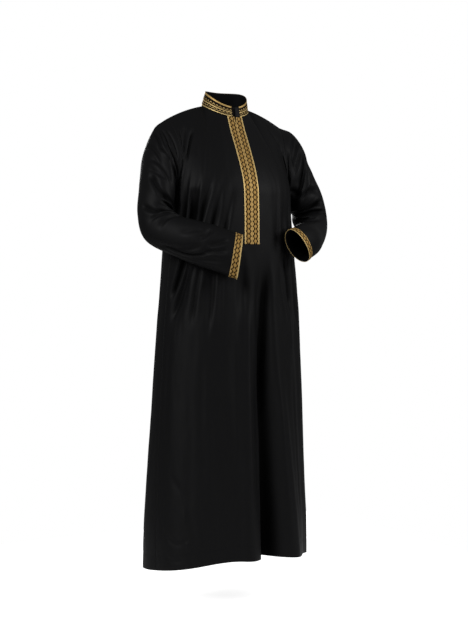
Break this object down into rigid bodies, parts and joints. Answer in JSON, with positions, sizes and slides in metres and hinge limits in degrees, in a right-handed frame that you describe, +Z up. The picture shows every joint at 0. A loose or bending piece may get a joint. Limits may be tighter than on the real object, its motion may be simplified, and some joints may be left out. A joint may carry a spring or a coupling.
{
  "type": "qamis",
  "caption": "Long loose ankle-length robe with a standing collar, long sleeves and geometric gold braid on collar, placket and cuffs, hollow in its worn form",
  "frame": {"origin": "the middle of the neck, level with the sides of the neckline, where the wearer's shoulders hold the robe", "axes": "+Z up along the body, the wearer faces -Y, the wearer's left is +X"},
  "size_m": [0.7, 0.4503, 1.4986],
  "materials": {
    "black_cloth": "smooth black polyester twill with a soft sheen",
    "gold_braid": "woven braid, metallic gold thread on black"
  },
  "bodies": {
    "root": {"front": "black_cloth", "back": "black_cloth", "sleeve_left": "black_cloth", "sleeve_right": "black_cloth", "collar": "black_cloth", "collar_braid": "gold_braid", "placket_braid_left": "gold_braid", "placket_braid_right": "gold_braid", "cuff_braid_left": "gold_braid", "cuff_braid_right": "gold_braid"}
  },
  "joints": []
}
